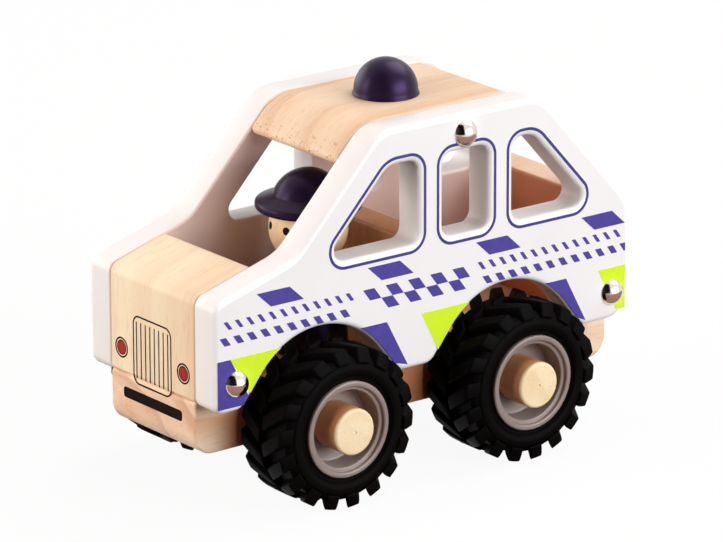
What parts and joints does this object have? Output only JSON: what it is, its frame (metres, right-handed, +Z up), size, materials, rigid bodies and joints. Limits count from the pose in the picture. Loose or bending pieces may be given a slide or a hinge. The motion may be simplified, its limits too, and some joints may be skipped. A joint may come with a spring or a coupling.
{
  "type": "wooden toy patrol car",
  "caption": "Wooden toy patrol car with painted side panels, a wooden core, free-rolling rubber-tyred wheels on turned pegs, a roof light and a peg-doll driver.",
  "frame": {"origin": "on the floor under the middle of the car's bounding box, with the wheels standing on the floor", "axes": "-Y forward along the car, +X to the car's left, +Z up"},
  "size_m": [0.0958, 0.16, 0.1237],
  "materials": {
    "panel_paint": "white satin lacquer on wood",
    "plank_wood": "clear-coated pale wood",
    "block_wood": "clear-coated pale wood",
    "peg_wood": "clear-coated pale wood",
    "head_wood": "clear-coated turned wood",
    "dark_paint": "dark violet satin paint on turned wood",
    "hub_plastic": "warm grey moulded plastic",
    "tyre_rubber": "matt black rubber",
    "screw_chrome": "polished dome"
  },
  "bodies": {
    "body": {"panel_left": "panel_paint", "panel_right": "panel_paint", "chassis_plank": "plank_wood", "hood_block": "block_wood", "rear_block": "block_wood", "seat_board": "block_wood", "roof_plank": "block_wood", "roof_light": "dark_paint", "driver_body": "dark_paint", "driver_head": "head_wood", "driver_cap": "dark_paint", "peg_front_left": "peg_wood", "peg_front_right": "peg_wood", "peg_rear_left": "peg_wood", "peg_rear_right": "peg_wood", "screw_front_left": "screw_chrome", "screw_front_right": "screw_chrome", "screw_rear_left": "screw_chrome", "screw_rear_right": "screw_chrome", "screw_roof_left": "screw_chrome", "screw_roof_right": "screw_chrome"},
    "wheel_front_left": {"hub_front_left": "hub_plastic", "tyre_front_left": "tyre_rubber"},
    "wheel_front_right": {"hub_front_right": "hub_plastic", "tyre_front_right": "tyre_rubber"},
    "wheel_rear_left": {"hub_rear_left": "hub_plastic", "tyre_rear_left": "tyre_rubber"},
    "wheel_rear_right": {"hub_rear_right": "hub_plastic", "tyre_rear_right": "tyre_rubber"}
  },
  "joints": [
    {"name": "front_left_roll", "type": "hinge", "parent": "body", "child": "wheel_front_left", "pos_m": [0.0338, -0.03939, 0.0255], "axis": [1, 0, 0], "continuous": true},
    {"name": "front_right_roll", "type": "hinge", "parent": "body", "child": "wheel_front_right", "pos_m": [-0.0338, -0.03939, 0.0255], "axis": [1, 0, 0], "continuous": true},
    {"name": "rear_left_roll", "type": "hinge", "parent": "body", "child": "wheel_rear_left", "pos_m": [0.0338, 0.0319, 0.0255], "axis": [1, 0, 0], "continuous": true},
    {"name": "rear_right_roll", "type": "hinge", "parent": "body", "child": "wheel_rear_right", "pos_m": [-0.0338, 0.0319, 0.0255], "axis": [1, 0, 0], "continuous": true}
  ]
}
